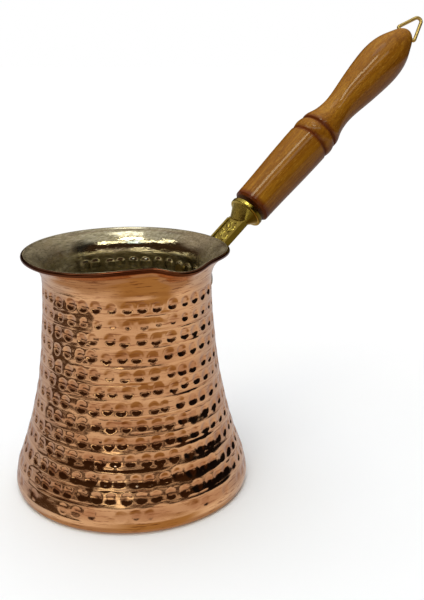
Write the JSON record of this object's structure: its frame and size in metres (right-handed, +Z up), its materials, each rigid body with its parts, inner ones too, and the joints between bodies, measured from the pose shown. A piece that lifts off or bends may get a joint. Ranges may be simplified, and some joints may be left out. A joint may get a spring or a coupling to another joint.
{
  "type": "turkish coffee pot",
  "caption": "Copper cezve with tin lining, rolled rim, side pouring lip, riveted cast bracket, turned wooden handle and swinging wire hanging loop.",
  "frame": {"origin": "centre of the pot's flat base, on the surface it stands on", "axes": "+Z up; +X towards the handle, which rises in the XZ plane; the pouring lip points along -Y"},
  "size_m": [0.2079, 0.0934, 0.1806],
  "materials": {
    "copper": "polished hammered copper, lightly lacquered",
    "tin": "wiped tin, soft sheen",
    "cast_brass": "cast brass, polished on the high places and dark in the relief",
    "rivet_brass": "peened brass",
    "steel": "plain threaded steel",
    "wood": "varnished honey-coloured hardwood",
    "loop_brass": "bright brass wire"
  },
  "bodies": {
    "pot": {"pot_body": "copper", "tin_lining": "tin", "handle_bracket": "cast_brass", "rivet_left": "rivet_brass", "rivet_right": "rivet_brass", "rivet_low": "rivet_brass", "handle_stud": "steel", "wooden_handle": "wood"},
    "loop": {"hanging_loop": "loop_brass"}
  },
  "joints": [
    {"name": "loop_swing", "type": "hinge", "parent": "pot", "child": "loop", "pos_m": [0.15119, 0, 0.17248], "axis": [-0.4801, 0.6101, 0.6302], "range_deg": [-90, 90]}
  ]
}
